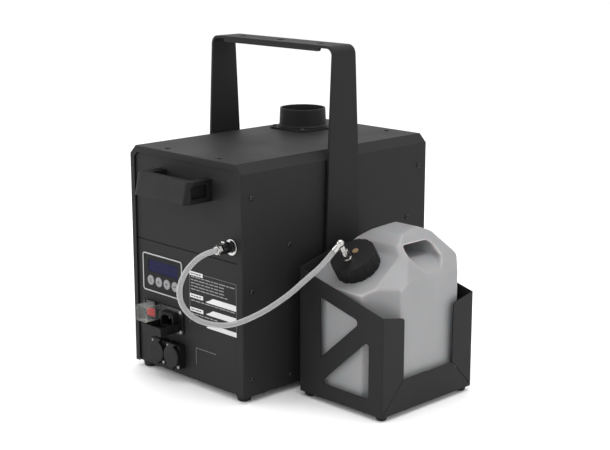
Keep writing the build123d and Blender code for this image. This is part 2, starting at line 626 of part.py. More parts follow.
for x, socket_name in zip(DMX_X, SOCKET_NAMES):
    with BuildPart() as socket:
        with BuildSketch(rear(x, DMX_Z)):
            RectangleRounded(DMX_W, DMX_H, 3)
        extrude(amount=SOCKET_T)
        with Locations(rear(x, DMX_Z)):
            Cylinder(11.5, 18, align=CENTRE_MAX)
        with Locations(rear(x, DMX_Z, SOCKET_FACE)):
            if socket_name == "dmx_input":
                Cylinder(8.6, 14, align=CENTRE_MAX, mode=Mode.SUBTRACT)
            else:
                Cylinder(9.2, 6, align=CENTRE_MAX, mode=Mode.SUBTRACT)
                with PolarLocations(3.9, 3, start_angle=-90):
                    Cylinder(1.5, 16, align=CENTRE_MAX, mode=Mode.SUBTRACT)
        with Locations(*socket_screw_planes(x)):
            Cylinder(1.7, 30, mode=Mode.SUBTRACT)
        # ears and pin for the cap
        for side in (-1, 1):
            with BuildSketch(facing(x + side * 8.7, CAP_HINGE_Y, CAP_HINGE_Z, (1, 0, 0))):
                Circle(2.0)
                with Locations((1.6, -0.6)):
                    Rectangle(3.2, 2.8)
            extrude(amount=1.9, both=True)
        with Locations(facing(x, CAP_HINGE_Y, CAP_HINGE_Z, (1, 0, 0))):
            Cylinder(1.0, 21.2)
    save(socket, socket_name)

with BuildPart() as contact_pins:
    with Locations(rear(DMX_X[0], DMX_Z, SOCKET_FACE - 14)):
        with PolarLocations(3.9, 3, start_angle=90):
            Cylinder(1.2, 8, align=CENTRE_MIN)
    for x, z in ((-7, -2), (0, 2), (7, -2)):
        with BuildSketch(rear(INLET[0] + x, INLET[1] + z, MODULE_FACE + INLET_PROUD - 24)):
            Rectangle(2, 4)
        extrude(amount=18)
save(contact_pins, "contact_pins")

with BuildPart() as panel_screws:
    for x in DMX_X:
        screws(socket_screw_planes(x), 2.6, 1.5, 1.45, SOCKET_T + 6)
    screws([rear(MODULE[0] + dx, MODULE[1] + dz, MODULE_FACE) for dx, dz in MODULE_SCREWS], 2.6, 1.5, 1.45, 9)
save(panel_screws, "panel_screws")

LID_R = 17.0
for x, socket_name in zip(DMX_X, SOCKET_NAMES):
    with BuildPart() as lid:
        seat = rear(x, DMX_Z, SOCKET_FACE + 1.8)
        with BuildSketch(seat):
            Circle(LID_R)
            with Locations((0, 14.5)):
                Rectangle(12.6, 10)
            with Locations((0, -16.5)):
                RectangleRounded(9, 8, 2)
        extrude(amount=3.2)
        fillet(lid.faces().sort_by(Axis.Y)[0].edges(), 1.2)
        with Locations(facing(x, CAP_HINGE_Y, CAP_HINGE_Z, (1, 0, 0))):
            Cylinder(2.0, 13)
            Cylinder(1.05, 30, mode=Mode.SUBTRACT)
        with Locations(seat):
            Cylinder(7.0, 2.6, align=CENTRE_MAX)
    save(lid, f"{socket_name}_cap")

# ---------------------------------------------------------------- fluid coupling on the rear
with BuildPart() as coupling_socket:
    axis_plane = rear(*COUPLING)
    with Locations(axis_plane):
        Cylinder(12.0, 3.2, align=CENTRE_MIN)
        Cylinder(8.0, 26, align=CENTRE_MAX)
    with BuildSketch(axis_plane.offset(-SHEET)):
        RegularPolygon(12.5, 6)
        Circle(8.0, mode=Mode.SUBTRACT)
    extrude(amount=-5)
    with Locations(axis_plane.offset(4)):
        Cylinder(7.4, 18, align=CENTRE_MAX, mode=Mode.SUBTRACT)
    with Locations(axis_plane.offset(-13)):
        Cylinder(2.5, 20, align=CENTRE_MAX, mode=Mode.SUBTRACT)
    fillet(coupling_socket.faces().sort_by(Axis.Y)[0].edges(), 0.9)
save(coupling_socket, "coupling_socket")

LATCH_Z = COUPLING[1] + 7.2
with BuildPart() as coupling_plug:
    with Locations(rear(*COUPLING, PANEL_FACE - 12)):
        Cylinder(5.0, 12, align=CENTRE_MIN)
    with Locations(rear(*COUPLING, PANEL_FACE)):
        Cylinder(7.2, 21, align=CENTRE_MIN)
    with Locations(rear(*COUPLING, PANEL_FACE + 21)):
        Cylinder(4.6, 2, align=CENTRE_MIN)
    # housing of the release button
    with BuildSketch(rear(*COUPLING, PANEL_FACE + 7)):
        with Locations((0, 3.5)):
            RectangleRounded(11, 11, 1.5)
    extrude(amount=13)
    with Locations((COUPLING[0], -(PANEL_FACE + 15), LATCH_Z + 1.8)):
        Box(7.2, 6.2, 6.0, align=CENTRE_MAX, mode=Mode.SUBTRACT)
    with Locations(rear(*COUPLING, PANEL_FACE + 40)):
        Cylinder(2.4, 60, align=CENTRE_MAX, mode=Mode.SUBTRACT)
save(coupling_plug, "coupling_plug")

# nut that grips the tube
with BuildPart() as coupling_nut:
    with BuildSketch(rear(*COUPLING, PANEL_FACE + 23)):
        Circle(6.4)
        Circle(2.4, mode=Mode.SUBTRACT)
    extrude(amount=COUPLING_END - PANEL_FACE - 23)
    chamfer(coupling_nut.faces().sort_by(Axis.Y)[0].edges().sort_by(SortBy.LENGTH)[-1], 1.0)
    with BuildSketch(rear(*COUPLING, PANEL_FACE + 23)):
        RegularPolygon(7.4, 6)
        Circle(2.4, mode=Mode.SUBTRACT)
    extrude(amount=4)
save(coupling_nut, "coupling_nut")

with BuildPart() as coupling_latch:
    with Locations((COUPLING[0], -(PANEL_FACE + 15), LATCH_Z - 2.0)):
        Box(6.8, 5.8, 6.0, align=CENTRE_MIN)
    fillet(coupling_latch.faces().sort_by(Axis.Z)[-1].edges(), 1.0)
save(coupling_latch, "coupling_latch")

# ---------------------------------------------------------------- basket
basket_feet_at = [(x, y) for x in (BASKET_X[0] + 12, BASKET_X[1] - 11) for y in (BASKET_Y[0] + 11, BASKET_Y[1] - 11)]
BASKET_FOOT_R = 8.5
BASKET_MID_Y = (BASKET_Y[0] + BASKET_Y[1]) / 2
BASKET_DEPTH = BASKET_X[1] - BASKET_X[0]
BASKET_WIDTH = BASKET_Y[1] - BASKET_Y[0]
HIGH_Z = BASKET_LOW_Z + BASKET_SLOPE * BASKET_DEPTH
BACK_TOP = 211.5
BAND_H = 46.0


def wall_top(x):
    """Height of a side wall's top edge."""
    return BASKET_LOW_Z + BASKET_SLOPE * (BASKET_X[1] - x)


with BuildPart() as fluid_basket:
    x0, x1 = BASKET_X
    y0, y1 = BASKET_Y
    with Locations(((x0 + x1) / 2, BASKET_MID_Y, BASKET_BOTTOM)):
        Box(BASKET_DEPTH, BASKET_WIDTH, 220, align=CENTRE_MIN)
    fillet(fluid_basket.edges().filter_by(Axis.Z), 2.0)
    with Locations(((x0 + x1) / 2, BASKET_MID_Y, BASKET_BOTTOM + BASKET_SHEET)):
        inner_size = (BASKET_DEPTH - 2 * BASKET_SHEET, BASKET_WIDTH - 2 * BASKET_SHEET)
        Box(*inner_size, 230, align=CENTRE_MIN, mode=Mode.SUBTRACT)
    # side walls: sloping top edge
    with BuildSketch(Plane.XZ):
        Polygon((x0 + 3, wall_top(x0 + 3)), (x1 + 1, wall_top(x1 + 1)), (x1 + 1, 300), (x0 + 3, 300), align=None)
    extrude(amount=200, both=True, mode=Mode.SUBTRACT)
    # back wall: top edge rising to a flat middle
    with BuildSketch(Plane.YZ):
        Polygon(
            (y0 - 1, HIGH_Z - 0.3), (y0 + 72, BACK_TOP), (y1 - 72, BACK_TOP), (y1 + 1, HIGH_Z - 0.3),
            (y1 + 1, 300), (y0 - 1, 300), align=None,
        )
    extrude(amount=x0 + 3.5, mode=Mode.SUBTRACT)
    # front opening, with sloped post tops
    post = BASKET_POST
    window_z = BASKET_BOTTOM + BAND_H
    shoulder = BASKET_LOW_Z - 8.5
    with BuildSketch(Plane.YZ.offset(x1 - 6)):
        with BuildLine():
            window = Polyline(
                (y0 + 2.5, 300), (y0 + 2.5, BASKET_LOW_Z), (y0 + post, shoulder), (y0 + post, window_z),
                (y1 - post, window_z), (y1 - post, shoulder), (y1 - 2.5, BASKET_LOW_Z), (y1 - 2.5, 300), close=True,
            )
        make_face()
        fillet(vertices().group_by(Axis.Y)[1], 6.0)
    extrude(amount=12, mode=Mode.SUBTRACT)
    # mitred seams of the front flanges
    for y_corner, y_window in ((y0 + 2, y0 + post), (y1 - 2, y1 - post)):
        with BuildSketch(Plane.YZ.offset(x1 - 5)):
            with BuildLine():
                Line((y_corner, BASKET_BOTTOM + 2.5), (y_window, window_z + 1))
            trace(line_width=0.9)
        extrude(amount=10, mode=Mode.SUBTRACT)
    # triangular cut-outs in both side walls
    strut_slope = 0.89
    ux, uz = x0 + 43, 68.0
    top_at_ux = wall_top(ux) - 25
    reach_u = (top_at_ux - uz) / (strut_slope + BASKET_SLOPE)
    lx, lz = x1 - 26, 29.0
    with BuildSketch(Plane.XZ):
        with BuildLine():
            Polyline(
                (ux, uz), (ux, top_at_ux), (ux + reach_u, top_at_ux - BASKET_SLOPE * reach_u), close=True,
            )
        make_face()
        fillet(vertices().sort_by(Axis.X)[-1], 6.0)
    extrude(amount=200, both=True, mode=Mode.SUBTRACT)
    with BuildSketch(Plane.XZ):
        with BuildLine():
            Polyline((lx, lz), (lx, lz + 86), (lx - 86 / strut_slope, lz), close=True)
        make_face()
        fillet(vertices(), 4.5)
    extrude(amount=200, both=True, mode=Mode.SUBTRACT)
    with Locations(*[(x, y, BASKET_BOTTOM) for x, y in basket_feet_at]):
        Cylinder(2.2, 10, mode=Mode.SUBTRACT)
save(fluid_basket, "fluid_basket")

with BuildPart() as basket_feet:
    for x, y in basket_feet_at:
        with BuildSketch(upright(x, y)):
            foot_profile(BASKET_FOOT_R, BASKET_BOTTOM)
        revolve(axis=Axis((x, y, 0), (0, 0, 1)))
save(basket_feet, "basket_feet")

# ---------------------------------------------------------------- bottle
HAND_HOLE = (-16.0, 42.0, 207.0, 229.0)  # y and z range of the hole under the bottle's grip


FACET = 39.0  # leg of the corner facet towards the rear
FACET_TOP = 181.0


def bottle_blank(inset):
    """The bottle's closed body, inset evenly on its sides: footprint, long section and cross section."""
    x0, x1 = BOTTLE_X[0] + inset, BOTTLE_X[1] - inset
    y0, y1 = BOTTLE_Y[0] + inset, BOTTLE_Y[1] - inset
    cut = FACET - inset * (2 - sqrt(2))
    nip = 15 - inset * (2 - sqrt(2))
    with BuildSketch(Plane.XY.offset(BOTTLE_FLOOR + inset)) as footprint:
        Polygon(
            (x0 + nip, y0), (x1 - cut, y0), (x1, y0 + cut), (x1, y1 - nip), (x1 - nip, y1), (x0 + nip, y1),
            (x0, y1 - nip), (x0, y0 + nip), align=None,
        )
        fillet(vertices(), 9)
    extrude(footprint.sketch, amount=BOTTLE_TOP)
    lift = -inset
    with BuildSketch(Plane.YZ) as long_section:
        Polygon(
            (BOTTLE_Y[0] - 5, 0), (BOTTLE_Y[0] - 5, 170 + lift), (-31, 217 + lift), (-23, 230 + lift),
            (0, 241 + lift), (40, BOTTLE_TOP + lift), (60, 238 + lift), (y1, 206 + lift), (y1 + 5, 0), align=None,
        )
    extrude(long_section.sketch, amount=400, both=True, mode=Mode.INTERSECT)
    with BuildSketch(Plane.XZ) as cross_section:
        Polygon(
            (x0, 0), (x0, 192 + lift), (x0 + 14, 214 + lift), (x0 + 36, 238 + lift), (x0 + 48, BOTTLE_TOP + lift),
            (x1 - 60, BOTTLE_TOP + lift), (x1 - 50, 239 + lift), (x1 - 18, 212 + lift), (x1, 188 + lift), (x1, 0),
            align=None,
        )
    extrude(cross_section.sketch, amount=400, both=True, mode=Mode.INTERSECT)
    # flat roof over the corner facet
    corner_plane = Plane(
        origin=(x1 - cut / 2, y0 + cut / 2, FACET_TOP + lift), x_dir=(-1, 1, 0), z_dir=(1, 1, 0)
    )
    with BuildSketch(corner_plane) as roof:
        Polygon((-40, -34), (100, 85), (100, 200), (-40, 200), align=None)
    extrude(roof.sketch, amount=150, both=True, mode=Mode.SUBTRACT)


neck_plane = Plane(
    origin=NECK_AT, x_dir=(1, 0, 0), z_dir=(0, -sin(radians(NECK_TILT)), cos(radians(NECK_TILT)))
)
with BuildPart() as bottle_core:
    bottle_blank(BOTTLE_WALL)
    y_a, y_b, z_a, z_b = HAND_HOLE
    with Locations(((BOTTLE_X[0] + BOTTLE_X[1]) / 2, (y_a + y_b) / 2, (z_a + z_b) / 2)):
        grown = 2 * BOTTLE_WALL
        Box(200, y_b - y_a + grown, z_b - z_a + grown, mode=Mode.SUBTRACT)

NECK_R = 24.0
with BuildPart() as fluid_bottle:
    bottle_blank(0)
    with Locations(neck_plane):
        Cylinder(NECK_R + 4, 10, align=CENTRE_MAX)
        Cylinder(NECK_R, CAP_H - 3, align=CENTRE_MIN)
    with Locations(((BOTTLE_X[0] + BOTTLE_X[1]) / 2, (y_a + y_b) / 2, (z_a + z_b) / 2)):
        Box(200, y_b - y_a, z_b - z_a, mode=Mode.SUBTRACT)
    add(bottle_core.part, mode=Mode.SUBTRACT)
    with Locations(neck_plane.offset(CAP_H)):
        Cylinder(NECK_R - 3, CAP_H + 12, align=CENTRE_MAX, mode=Mode.SUBTRACT)
save(fluid_bottle, "fluid_bottle")

# ---------------------------------------------------------------- cap, elbow, vent and dip tube
ELBOW_AT = (2.0, -11.0)  # place of the elbow on the cap's face
VENT_AT = (0.0, 8.0)
with BuildPart() as bottle_cap:
    with BuildSketch(neck_plane.offset(0.3)):
        Circle(CAP_R)
        with PolarLocations(CAP_R + 6, 14):
            Circle(6.9, mode=Mode.SUBTRACT)
    extrude(amount=CAP_H - 0.3)
    with Locations(neck_plane.offset(0.3)):
        Cylinder(NECK_R + 0.3, CAP_H - 3.2, align=CENTRE_MIN, mode=Mode.SUBTRACT)
    with Locations(neck_plane.offset(CAP_H)):
        with Locations(ELBOW_AT):
            Cylinder(4.0, 20, mode=Mode.SUBTRACT)
        with Locations(VENT_AT):
            Cylinder(3.0, 20, mode=Mode.SUBTRACT)
save(bottle_cap, "bottle_cap")

with BuildPart() as vent_plug:
    with Locations(neck_plane.offset(CAP_H)):
        with Locations(VENT_AT):
            Cylinder(4.6, 1.6, align=CENTRE_MIN)
            Cylinder(3.0, 3.0, align=CENTRE_MAX)
save(vent_plug, "vent_plug")

# elbow fitting: hex foot on the cap, riser along the neck's axis, then an arm towards the tube
ELBOW_H = 33.0
elbow_foot = Plane(
    origin=neck_plane.from_local_coords((ELBOW_AT[0], ELBOW_AT[1], CAP_H)), x_dir=(1, 0, 0), z_dir=neck_plane.z_dir
)
corner = elbow_foot.origin + elbow_foot.z_dir * ELBOW_H
ELBOW_ARM = Vector(-0.42, -0.44, -0.79).normalized()  # the way the tube leaves
arm_plane = Plane(origin=corner, z_dir=ELBOW_ARM)
ELBOW_ARM_L = 13.0
tube_end = corner + ELBOW_ARM * ELBOW_ARM_L
with BuildPart() as elbow_fitting:
    with BuildSketch(elbow_foot):
        RegularPolygon(6.4, 6)
    extrude(amount=5)
    with Locations(elbow_foot):
        Cylinder(4.0, 8, align=CENTRE_MAX)
        Cylinder(4.6, ELBOW_H, align=CENTRE_MIN)
    with Locations(elbow_foot.offset(12)):
        Cylinder(5.6, 7, align=CENTRE_MIN)
    with Locations(corner):
        Sphere(6.0)
    with Locations(arm_plane):
        Cylinder(4.8, ELBOW_ARM_L, align=CENTRE_MIN)
    with Locations(arm_plane.offset(ELBOW_ARM_L - 6)):
        Cylinder(5.6, 6, align=CENTRE_MIN)
save(elbow_fitting, "elbow_fitting")

# dip tube hanging from the elbow down to a weighted strainer
dip_top = elbow_foot.origin - elbow_foot.z_dir * 8
with BuildPart() as dip_tube:
    with BuildLine() as dip_line:
        FilletPolyline(
            dip_top, dip_top - elbow_foot.z_dir * 42, (228, -20, 70), (236, 12, 36), radius=28,
        )
    with BuildSketch(dip_line.line ^ 0):
        Circle(3.0)
        Circle(2.0, mode=Mode.SUBTRACT)
    sweep()
save(dip_tube, "dip_tube")

dip_end = dip_line.line @ 1
dip_way = dip_line.line % 1
with BuildPart() as dip_strainer:
    with Locations(Plane(origin=dip_end, z_dir=dip_way)):
        Cylinder(6.5, 16, align=CENTRE_MIN)
    fillet(dip_strainer.edges().filter_by(GeomType.CIRCLE), 1.2)
save(dip_strainer, "dip_strainer")

# ---------------------------------------------------------------- clear fluid tube
TUBE_ROUTE = [
    (102, -224, 230), (102, -243, 230), (97, -262, 219), (86, -272, 198), (80, -275, 172), (86, -268, 147),
    (104, -252, 131), (131, -226, 126), (160, -193, 144), (183.5, -162.5, 169), (198, -140, 192),
    tuple(tube_end + ELBOW_ARM * 26), tuple(tube_end),
]


def route_radii(points):
    """Largest arc at each inner point: 0.45 of the shorter run over the tangent of half the turn."""
    radii = []
    for a, b, c in zip(points, points[1:], points[2:]):
        run_in = Vector(b) - Vector(a)
        run_out = Vector(c) - Vector(b)
        turn = run_in.get_angle(run_out)
        radii.append(0.45 * min(run_in.length, run_out.length) / tan(radians(turn / 2)))
    return radii


tube_radii = route_radii(TUBE_ROUTE)
print("fluid tube radii", [round(r, 1) for r in tube_radii])
print("fluid tube runs", [round((Vector(b) - Vector(a)).length, 1) for a, b in zip(TUBE_ROUTE, TUBE_ROUTE[1:])])
with BuildPart() as fluid_tube:
    with BuildLine() as tube_line:
        FilletPolyline(*TUBE_ROUTE, radius=tube_radii)
    with BuildSketch(tube_line.line ^ 0):
        Circle(TUBE_R)
        Circle(TUBE_R - 1.5, mode=Mode.SUBTRACT)
    sweep()
section = pi * (TUBE_R**2 - (TUBE_R - 1.5) ** 2)
tube_length = sum(e.length for e in tube_line.edges())
print("fluid tube length", round(tube_length, 1))
print("volume over section x length", round(fluid_tube.part.volume / (section * tube_length), 4))
save(fluid_tube, "fluid_tube")

# ---------------------------------------------------------------- inside the cabinet
# heater block: cast body with fins, on two posts, with its nozzle into the mixing duct
HEATER = (50.0, 20.0, 262.0)
HEATER_SIZE = (56.0, 150.0, 46.0)
with BuildPart() as heater_block:
    with Locations(HEATER):
        Box(*HEATER_SIZE)
    fillet(heater_block.edges().filter_by(Axis.Y), 8)
    for i in range(9):
        with Locations((HEATER[0], HEATER[1] - 60 + 15 * i, HEATER[2] + HEATER_SIZE[2] / 2)):
            Box(HEATER_SIZE[0] + 2, 5, 8, mode=Mode.SUBTRACT)
save(heater_block, "heater_block")

with BuildPart() as heater_cradle:
    for y in (HEATER[1] - 55, HEATER[1] + 55):
        height = HEATER[2] - HEATER_SIZE[2] / 2 - CAB_BOTTOM - FLOOR_T
        with Locations((HEATER[0], y, CAB_BOTTOM + FLOOR_T)):
            Box(50, 2, height, align=CENTRE_MIN)
        with Locations((HEATER[0], y + 9, CAB_BOTTOM + FLOOR_T)):
            Box(50, 20, 2, align=CENTRE_MIN)
        with Locations((HEATER[0], y + 9, CAB_BOTTOM + FLOOR_T + height - 2)):
            Box(50, 20, 2, align=CENTRE_MIN)
save(heater_cradle, "heater_cradle")

# mixing duct under the spigot, blown from below by an axial fan
DUCT_R = 39.0
DUCT_LOW = 216.0
with BuildPart() as mixing_duct:
    with BuildSketch(Plane.XY.offset(DUCT_LOW)):
        with Locations(SPIGOT_XY):
            Circle(DUCT_R)
            Circle(DUCT_R - 1.2, mode=Mode.SUBTRACT)
    extrude(amount=CAB_TOP - SHEET - 0.3 - DUCT_LOW)
    with BuildSketch(Plane.XY.offset(DUCT_LOW)):
        with Locations(SPIGOT_XY):
            RectangleRounded(80, 80, 4)
            Circle(DUCT_R - 1.2, mode=Mode.SUBTRACT)
    extrude(amount=1.2)
    with Locations(facing(SPIGOT_XY[0] + DUCT_R - 6, 80, 262, (1, 0, 0))):
        Cylinder(7, 40, mode=Mode.SUBTRACT)
save(mixing_duct, "mixing_duct")

# nozzle on the heater's side that points into the duct
NOZZLE_AT = (HEATER[0] - HEATER_SIZE[0] / 2, 80.0, 262.0)
NOZZLE_L = 48.0
with BuildPart() as fog_nozzle:
    with Locations(facing(*NOZZLE_AT, (-1, 0, 0))):
        Cylinder(7.5, 6, align=CENTRE_MIN)
        Cylinder(4.0, NOZZLE_L, align=CENTRE_MIN)
        Cylinder(1.5, NOZZLE_L, align=CENTRE_MIN, mode=Mode.SUBTRACT)
save(fog_nozzle, "fog_nozzle")

FAN_SIZE = 80.0
FAN_T = 25.0
FAN_Z = DUCT_LOW - FAN_T
with BuildPart() as fan_frame:
    with BuildSketch(Plane.XY.offset(FAN_Z)):
        with Locations(SPIGOT_XY):
            RectangleRounded(FAN_SIZE, FAN_SIZE, 4)
            Circle(37.5, mode=Mode.SUBTRACT)
            with GridLocations(71.5, 71.5, 2, 2):
                Circle(2.2, mode=Mode.SUBTRACT)
    extrude(amount=FAN_T)
    with BuildSketch(Plane.XY.offset(FAN_Z)):
        with Locations(SPIGOT_XY):
            Circle(18)
            Rectangle(77, 4)
            Rectangle(4, 77)
    extrude(amount=4)
    with Locations((*SPIGOT_XY, FAN_Z + 4)):
        Cylinder(1.5, 12, align=CENTRE_MIN)
save(fan_frame, "fan_frame")

with BuildPart() as fan_rotor:
    with Locations((*SPIGOT_XY, FAN_Z + 5)):
        Cylinder(17, 18, align=CENTRE_MIN)
    for i in range(7):
        turn = 360 / 7 * i
        blade = Plane(origin=(*SPIGOT_XY, FAN_Z + 14), x_dir=(cos(radians(turn)), sin(radians(turn)), 0), z_dir=(0, 0, 1))
        with Locations(blade * Pos(26, 0, 0) * Rot(38, 0, 0)):
            Box(21, 22, 1.6)
    with BuildSketch(Plane.XY.offset(FAN_Z + 5)):
        with Locations(SPIGOT_XY):
            Circle(36.3)
    extrude(amount=18, mode=Mode.INTERSECT)
    with Locations((*SPIGOT_XY, FAN_Z + 4.6)):
        Cylinder(1.55, 12, align=CENTRE_MIN, mode=Mode.SUBTRACT)
save(fan_rotor, "fan_rotor")

with BuildPart() as fan_stand:
    for side in (-1, 1):
        with Locations((SPIGOT_XY[0] + side * 39, SPIGOT_XY[1], CAB_BOTTOM + FLOOR_T)):
            Box(2, 60, FAN_Z - CAB_BOTTOM - FLOOR_T, align=CENTRE_MIN)
        with Locations((SPIGOT_XY[0] + side * 44, SPIGOT_XY[1], CAB_BOTTOM + FLOOR_T)):
            Box(12, 60, 2, align=CENTRE_MIN)
save(fan_stand, "fan_stand")

# piston pump on the base tray
PUMP = (84.0, -110.0, 52.0)
with BuildPart() as fluid_pump:
    with Locations(facing(*PUMP, (0, 1, 0))):
        Cylinder(9, 92)
        Box(38, 44, 40)
    fillet(fluid_pump.edges().filter_by(Axis.Y), 3)
    with Locations(facing(*PUMP, (0, 1, 0))):
        Cylinder(4, 110)
    with Locations((PUMP[0], PUMP[1], CAB_BOTTOM + FLOOR_T)):
        Box(60, 46, 4, align=CENTRE_MIN)
        Box(24, 36, PUMP[2] - 21 - CAB_BOTTOM - FLOOR_T, align=CENTRE_MIN)
save(fluid_pump, "fluid_pump")

# feed hose from the coupling to the pump, and pressure pipe from the pump to the heater
with BuildPart() as feed_hose:
    with BuildLine() as feed_line:
        FilletPolyline(
            (102, -(PANEL_FACE - 26), 230), (102, -150, 230), (98, -150, 120), (84, -182, 95), (84, -182, 52), (84, PUMP[1] - 55, 52),
            radius=8,
        )
    with BuildSketch(feed_line.line ^ 0):
        Circle(3.5)
        Circle(2.3, mode=Mode.SUBTRACT)
    sweep()
save(feed_hose, "feed_hose")

with BuildPart() as pressure_pipe:
    with BuildLine() as pressure_line:
        FilletPolyline(
            (84, PUMP[1] + 55, 52), (84, -30, 52), (100, -30, 150), (100, -76, 262), (50, -76, 262),
            (50, HEATER[1] - HEATER_SIZE[1] / 2, 262), radius=9,
        )
    with BuildSketch(pressure_line.line ^ 0):
        Circle(2.5)
        Circle(1.5, mode=Mode.SUBTRACT)
    sweep()
save(pressure_pipe, "pressure_pipe")

# power board on the base tray
with BuildPart() as power_board:
    with Locations((-60, -90, CAB_BOTTOM + FLOOR_T + 8)):
        Box(90, 130, 1.6, align=CENTRE_MIN)
    for x, y, w, d, h in ((-80, -120, 36, 40, 32), (-38, -125, 30, 16, 34), (-40, -80, 18, 18, 26), (-75, -60, 44, 24, 22)):
        with Locations((x, y, CAB_BOTTOM + FLOOR_T + 9.6)):
            Box(w, d, h, align=CENTRE_MIN)
    with Locations((-60, -90, CAB_BOTTOM + FLOOR_T)):
        with GridLocations(80, 120, 2, 2):
            Cylinder(3.5, 8, align=CENTRE_MIN)
save(power_board, "power_board")

print("piece files", len(os.listdir("parts")))
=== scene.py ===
"""Looks of the fog machine: procedural materials on the CAD pieces, a blow-moulded canister, the clear
fluid tube, printed marks, symbols and screen, on a pale floor."""

import json
import math

import bmesh
import bpy
from mathutils import Matrix, Vector


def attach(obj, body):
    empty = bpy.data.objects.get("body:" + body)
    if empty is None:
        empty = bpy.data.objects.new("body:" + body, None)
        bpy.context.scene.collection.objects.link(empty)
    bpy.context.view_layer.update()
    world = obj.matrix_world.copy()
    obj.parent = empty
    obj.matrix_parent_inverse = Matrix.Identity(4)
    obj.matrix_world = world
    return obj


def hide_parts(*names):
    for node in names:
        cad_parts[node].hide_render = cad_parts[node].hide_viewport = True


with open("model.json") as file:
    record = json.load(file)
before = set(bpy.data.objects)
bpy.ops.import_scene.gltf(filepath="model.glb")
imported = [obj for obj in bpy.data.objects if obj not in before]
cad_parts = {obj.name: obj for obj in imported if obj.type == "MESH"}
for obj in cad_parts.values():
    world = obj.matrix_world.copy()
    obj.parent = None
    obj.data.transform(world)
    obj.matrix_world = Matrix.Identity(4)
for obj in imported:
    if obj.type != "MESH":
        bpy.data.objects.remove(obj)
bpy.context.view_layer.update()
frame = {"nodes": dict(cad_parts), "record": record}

MM = 0.001
SHIFT = Vector((-85.3, 23.5, 0.0))  # the middle of the object, seen from the middle of the cabinet


def at(x, y, z):
    """A place given in mm from the middle of the cabinet, in the frame's metres."""
    return (Vector((x, y, z)) + SHIFT) * MM


# ---------------------------------------------------------------- materials
class Nodes:
    """A material's node tree, with short calls to add and join nodes."""

    def __init__(self, name):
        self.material = bpy.data.materials.new(name)
        self.material.use_nodes = True
        self.tree = self.material.node_tree
        self.tree.nodes.clear()
        self.out = self.add("ShaderNodeOutputMaterial")
        self.coords = self.add("ShaderNodeTexCoord").outputs["Object"]

    def add(self, kind, **values):
        node = self.tree.nodes.new(kind)
        for key, value in values.items():
            setattr(node, key, value)
        return node

    def join(self, source, target):
        self.tree.links.new(source, target)

    def noise(self, scale, detail=4.0, roughness=0.55, stretch=None):
        node = self.add("ShaderNodeTexNoise")
        node.inputs["Scale"].default_value = scale
        node.inputs["Detail"].default_value = detail
        node.inputs["Roughness"].default_value = roughness
        source = self.coords
        if stretch:
            mapping = self.add("ShaderNodeMapping")
            mapping.inputs["Scale"].default_value = stretch
            self.join(self.coords, mapping.inputs["Vector"])
            source = mapping.outputs["Vector"]
        self.join(source, node.inputs["Vector"])
        return node.outputs["Fac"]

    def ramp(self, source, stops):
        node = self.add("ShaderNodeValToRGB")
        ramp = node.color_ramp
        ramp.elements[0].position, ramp.elements[0].color = stops[0][0], (*stops[0][1], 1)
        ramp.elements[1].position, ramp.elements[1].color = stops[-1][0], (*stops[-1][1], 1)
        for place, colour in stops[1:-1]:
            ramp.elements.new(place).color = (*colour, 1)
        self.join(source, node.inputs["Fac"])
        return node.outputs["Color"]

    def spread(self, source, low, high):
        node = self.add("ShaderNodeMapRange")
        node.inputs["From Min"].default_value = 0.3
        node.inputs["From Max"].default_value = 0.7
        node.inputs["To Min"].default_value = low
        node.inputs["To Max"].default_value = high
        self.join(source, node.inputs["Value"])
        return node.outputs["Result"]

    def mix(self, amount, first, second):
        node = self.add("ShaderNodeMix", data_type="RGBA")
        self.join(amount, node.inputs["Factor"])
        self.join(first, node.inputs["A"])
        self.join(second, node.inputs["B"])
        return node.outputs["Result"]

    def bump(self, heights, distance, strength, edge=0.0):
        """Bump from a height, on normals whose sharp edges are softened by edge."""
        node = self.add("ShaderNodeBump")
        node.inputs["Distance"].default_value = distance
        node.inputs["Strength"].default_value = strength
        self.join(heights, node.inputs["Height"])
        if edge:
            bevel = self.add("ShaderNodeBevel", samples=6)
            bevel.inputs["Radius"].default_value = edge
            self.join(bevel.outputs["Normal"], node.inputs["Normal"])
        return node.outputs["Normal"]

    def principled(self, colour, rough, normal, **fixed):
        node = self.add("ShaderNodeBsdfPrincipled")
        self.join(colour, node.inputs["Base Color"])
        self.join(rough, node.inputs["Roughness"])
        self.join(normal, node.inputs["Normal"])
        for key, value in fixed.items():
            node.inputs[key.replace("_", " ")].default_value = value
        return node.outputs["BSDF"]

    def done(self, shader):
        self.join(shader, self.out.inputs["Surface"])
        return self.material


def shade(colour, factor):
    return tuple(c * factor for c in colour)


def powder_coat(name, colour, grain=900.0, depth=0.00014, edge=0.0007):
    """Fine-textured matt paint: orange-peel grain, faint handling marks, edges rubbed a little lighter."""
    n = Nodes(name)
    patches = n.noise(9.0, 5.0)
    marks = n.noise(60.0, 6.0, 0.7, stretch=(1.0, 1.0, 0.25))
    grain_height = n.noise(grain, 3.0, 0.6)
    base = n.ramp(patches, [(0.3, shade(colour, 0.88)), (0.7, shade(colour, 1.12))])
    dusty = n.ramp(marks, [(0.55, (0.0, 0.0, 0.0)), (0.8, (0.12, 0.12, 0.12))])
    light = n.add("ShaderNodeRGB")
    light.outputs[0].default_value = (*shade(colour, 1.9), 1)
    mixed = n.mix(dusty, base, light.outputs[0])
    pointed = n.add("ShaderNodeNewGeometry").outputs["Pointiness"]
    worn = n.ramp(pointed, [(0.52, (0.0, 0.0, 0.0)), (0.60, (0.35, 0.35, 0.35))])
    mixed = n.mix(worn, mixed, light.outputs[0])
    rough = n.spread(patches, 0.50, 0.62)
    normal = n.bump(grain_height, depth, 0.55, edge)
    return n.done(n.principled(mixed, rough, normal, Specular_IOR_Level=0.15))


